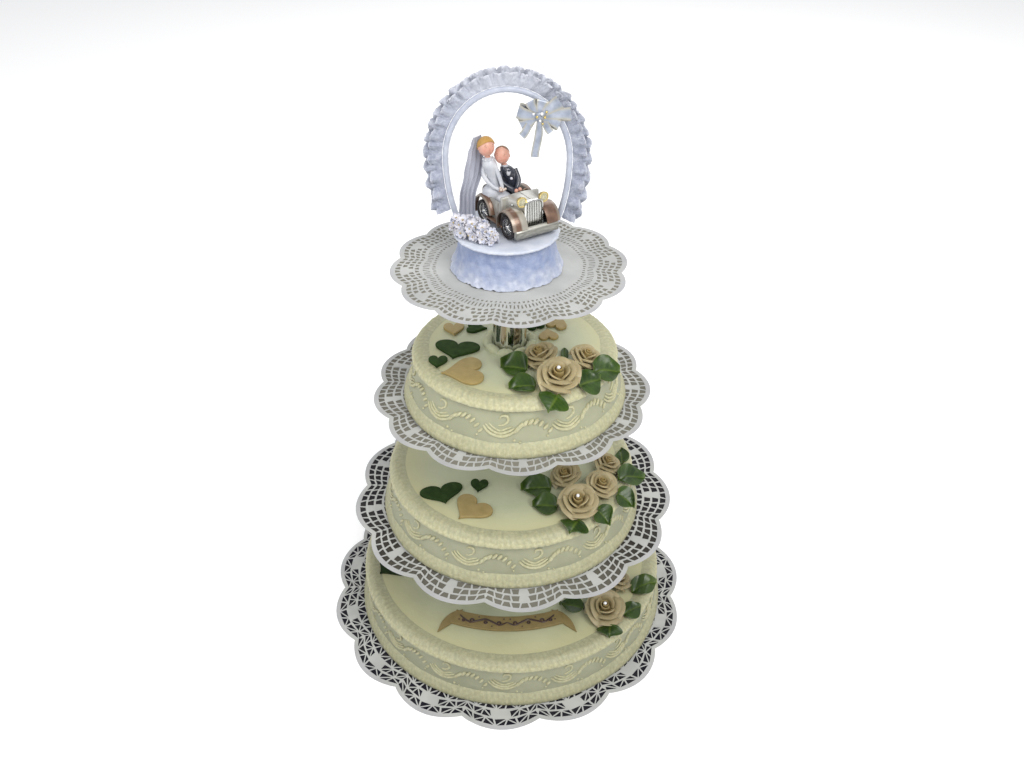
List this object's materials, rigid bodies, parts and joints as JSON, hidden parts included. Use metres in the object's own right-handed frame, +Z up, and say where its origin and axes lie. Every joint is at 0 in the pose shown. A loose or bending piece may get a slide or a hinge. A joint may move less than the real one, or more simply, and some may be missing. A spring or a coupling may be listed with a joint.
{
  "type": "tiered wedding cake",
  "caption": "Round wedding cake in tiers on posts with lace paper doilies, marzipan roses and hearts, and a topper of a couple in a vintage car under an arch.",
  "frame": {"origin": "on the surface that the cake stands on, under the middle of the lowest doily's outline", "axes": "+Z up; -Y towards the viewer of the picture, where the banner is; +X to that viewer's right, where the roses are"},
  "size_m": [0.3648, 0.3642, 0.5456],
  "materials": {
    "paper": "smooth, embossed and punched",
    "cream": "soft satin buttercream",
    "chrome": "polished",
    "rose": "matte marzipan",
    "leaf": "glossy glazed marzipan",
    "heart_green": "matte marzipan",
    "heart_tan": "matte marzipan",
    "tulle": "sheer crisp tulle",
    "satin": "soft satin",
    "lace": "gathered lace",
    "white_fabric": "satin and organza",
    "suit": "glossy paint",
    "car_body": "metallic paint"
  },
  "bodies": {
    "root": {"doily_1": "paper", "doily_2": "paper", "doily_3": "paper", "doily_4": "paper", "cake_1": "cream", "cake_2": "cream", "cake_3": "cream", "pillar_1": "chrome", "pillar_2": "chrome", "pillar_3": "chrome", "rose_1_1": "rose", "rose_1_2": "rose", "rose_2_1": "rose", "rose_2_2": "rose", "rose_2_3": "rose", "rose_2_4": "rose", "rose_3_1": "rose", "rose_3_2": "rose", "rose_3_3": "rose", "leaf_1_1": "leaf", "leaf_1_2": "leaf", "leaf_1_3": "leaf", "leaf_1_4": "leaf", "leaf_2_1": "leaf", "leaf_2_2": "leaf", "leaf_2_3": "leaf", "leaf_2_4": "leaf", "leaf_2_5": "leaf", "leaf_2_6": "leaf", "leaf_2_7": "leaf", "leaf_3_1": "leaf", "leaf_3_2": "leaf", "leaf_3_3": "leaf", "leaf_3_4": "leaf", "leaf_3_5": "leaf", "leaf_3_6": "leaf", "leaf_3_7": "leaf", "heart_1_1": "heart_green", "heart_2_1": "heart_green", "heart_2_2": "heart_green", "heart_2_3": "heart_tan", "heart_3_1": "heart_green", "heart_3_2": "heart_green", "heart_3_3": "heart_tan", "heart_3_4": "heart_tan", "heart_3_5": "heart_green", "heart_3_6": "heart_green", "heart_3_7": "heart_tan", "heart_3_8": "heart_tan", "banner": "heart_tan", "topper_drum": "tulle", "topper_disc": "white_fabric", "topper_arch": "satin", "topper_frill": "lace", "topper_bow": "white_fabric", "topper_flowers": "white_fabric", "car": "car_body", "bride": "white_fabric", "groom": "suit", "veil": "tulle"}
  },
  "joints": []
}
